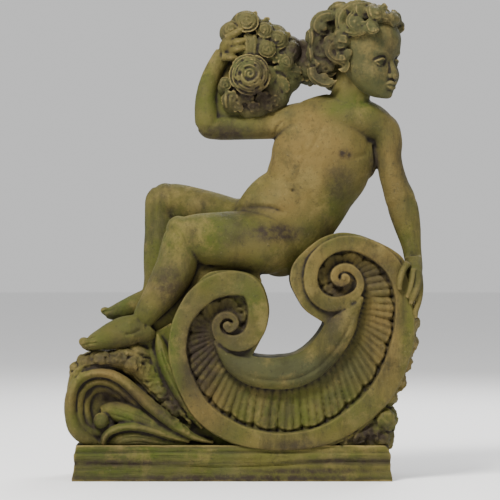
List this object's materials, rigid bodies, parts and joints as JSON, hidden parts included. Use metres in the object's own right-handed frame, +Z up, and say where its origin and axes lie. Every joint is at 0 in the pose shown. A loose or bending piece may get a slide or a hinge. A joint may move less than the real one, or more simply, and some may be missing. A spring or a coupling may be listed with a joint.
{
  "type": "angel sculpture",
  "caption": "Garden sculpture of a seated child angel carrying roses, leaning back on a fluted volute scroll above a moulded rectangular base.",
  "frame": {"origin": "middle of the base's underside, on the floor", "axes": "+Z up, the carved front faces -Y, +X toward the arm the figure leans on"},
  "size_m": [0.5964, 0.2026, 0.8016],
  "materials": {
    "cast_stone": "weathered, mossy"
  },
  "bodies": {
    "root": {"angel_sculpture": "cast_stone"}
  },
  "joints": []
}
